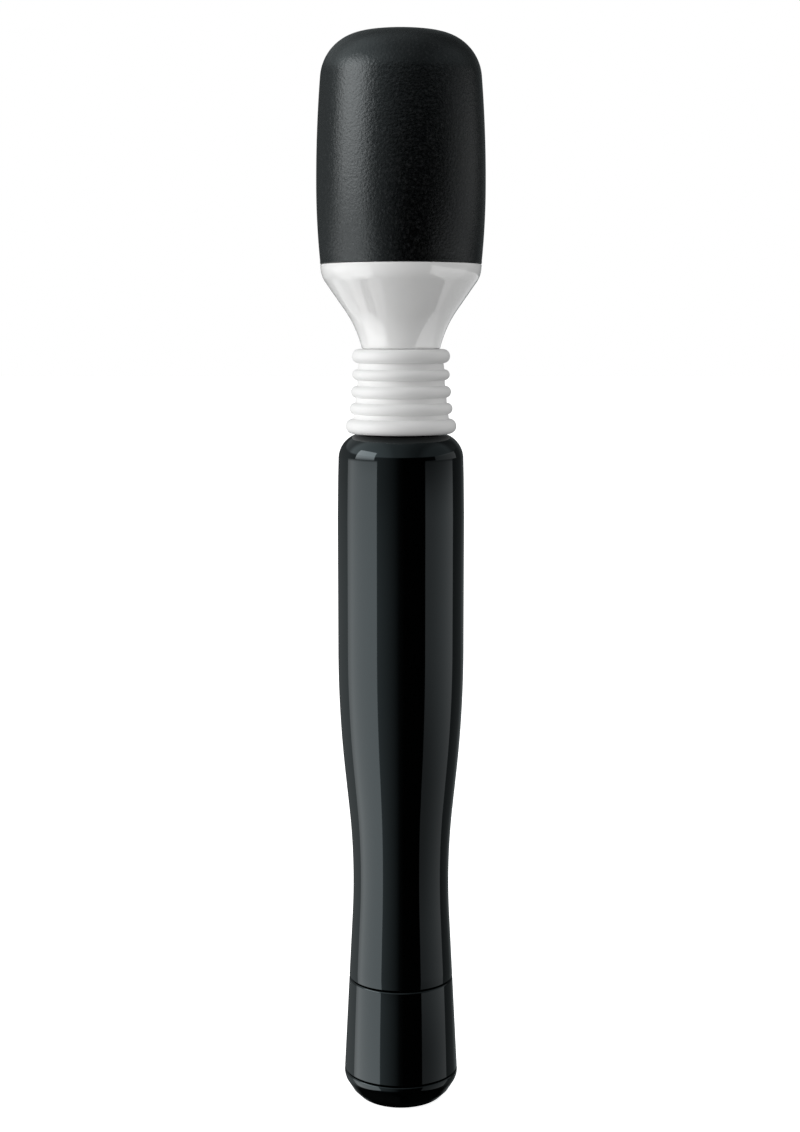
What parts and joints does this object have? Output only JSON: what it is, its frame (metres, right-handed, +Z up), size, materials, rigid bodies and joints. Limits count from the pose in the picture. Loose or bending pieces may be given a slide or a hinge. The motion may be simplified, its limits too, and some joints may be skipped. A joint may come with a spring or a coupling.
{
  "type": "battery wand massager",
  "caption": "Straight hand-held wand massager: hourglass handle with twist speed dial at its foot, ribbed flexible neck and rounded vibrating head.",
  "frame": {"origin": "centre of the flat foot that the wand stands on, on its long axis", "axes": "+Z up along the wand from foot to crown; the body is round, so X and Y are alike: -Y faces the viewer, +X is to the viewer's right, and the two contact strips lie at +Y"},
  "size_m": [0.0334, 0.0334, 0.216],
  "materials": {
    "gloss_black": "polished, high gloss",
    "inner_black": "as moulded",
    "board": "laminate with solder mask",
    "brass": "rolled",
    "steel": "plated",
    "cell_can": "plated can, drawn",
    "jacket": "shrink sleeve",
    "neck_soft": "satin elastomer",
    "spring": "drawn wire",
    "lead_red": "wire insulation",
    "lead_black": "wire insulation",
    "soft_black": "soft-touch coating, fine grain",
    "white_gloss": "polished",
    "bell_white": "as moulded",
    "magnet": "sintered ferrite",
    "copper": "enamelled winding and copper bars",
    "seal": "moulded",
    "blued": "black oxide"
  },
  "bodies": {
    "handle": {"handle_shell": "gloss_black", "battery_tube": "inner_black", "contact_board": "board", "top_contact": "brass", "return_strip": "brass", "neck_anchor": "inner_black"},
    "lower_cell": {"cell_lower_can": "cell_can", "cell_lower_jacket": "jacket"},
    "upper_cell": {"cell_upper_can": "cell_can", "cell_upper_jacket": "jacket"},
    "neck": {"neck_bellows": "neck_soft", "neck_spring": "spring", "lead_red": "lead_red", "lead_black": "lead_black"},
    "head": {"head_cover": "soft_black", "head_collar": "white_gloss", "motor_cradle": "inner_black", "cradle_screws": "steel", "motor_can": "steel", "motor_magnets": "magnet", "motor_end_bell": "bell_white", "motor_terminals": "brass", "motor_bushes": "brass"},
    "rotor": {"motor_shaft": "steel", "armature": "copper", "commutator": "copper", "eccentric_weight": "spring", "weight_screw": "blued"},
    "cap": {"cap_core": "inner_black", "seal_ring": "seal", "retaining_clip": "spring", "spring_plate": "brass", "contact_spring": "spring", "track_disc": "board", "cap_strip": "brass"},
    "dial": {"dial_sleeve": "gloss_black", "dial_foot": "gloss_black", "wiper": "brass"}
  },
  "joints": [
    {"name": "neck_nod", "type": "hinge", "parent": "handle", "child": "neck", "pos_m": [0, 0, 0.146], "axis": [1, 0, 0], "range_deg": [-15, 15], "stiffness_Nm_per_rad": 1.5, "deforming": ["neck_bellows", "neck_spring", "lead_red", "lead_black"]},
    {"name": "neck_sway", "type": "hinge", "parent": "neck", "child": "head", "pos_m": [0, 0, 0.146], "axis": [0, 1, 0], "range_deg": [-15, 15], "stiffness_Nm_per_rad": 1.5, "deforming": ["neck_bellows", "neck_spring", "lead_red", "lead_black"]},
    {"name": "motor_spin", "type": "hinge", "parent": "head", "child": "rotor", "pos_m": [0, 0, 0.19], "axis": [0, 0, 1], "continuous": true},
    {"name": "cap_pull", "type": "slide", "parent": "handle", "child": "cap", "axis": [0, 0, -1], "range_m": [0, 0.17]},
    {"name": "speed_dial", "type": "hinge", "parent": "cap", "child": "dial", "pos_m": [0, 0, 0.015], "axis": [0, 0, 1], "range_deg": [0, 270]},
    {"name": "lower_cell_out", "type": "slide", "parent": "handle", "child": "lower_cell", "axis": [0, 0, -1], "range_m": [0, 0.11]},
    {"name": "upper_cell_out", "type": "slide", "parent": "handle", "child": "upper_cell", "axis": [0, 0, -1], "range_m": [0, 0.055]}
  ],
  "couplings": [
    {"joint": "lower_cell_out", "follows": "cap_pull", "ratio": 0.647},
    {"joint": "upper_cell_out", "follows": "cap_pull", "ratio": 0.3235}
  ]
}
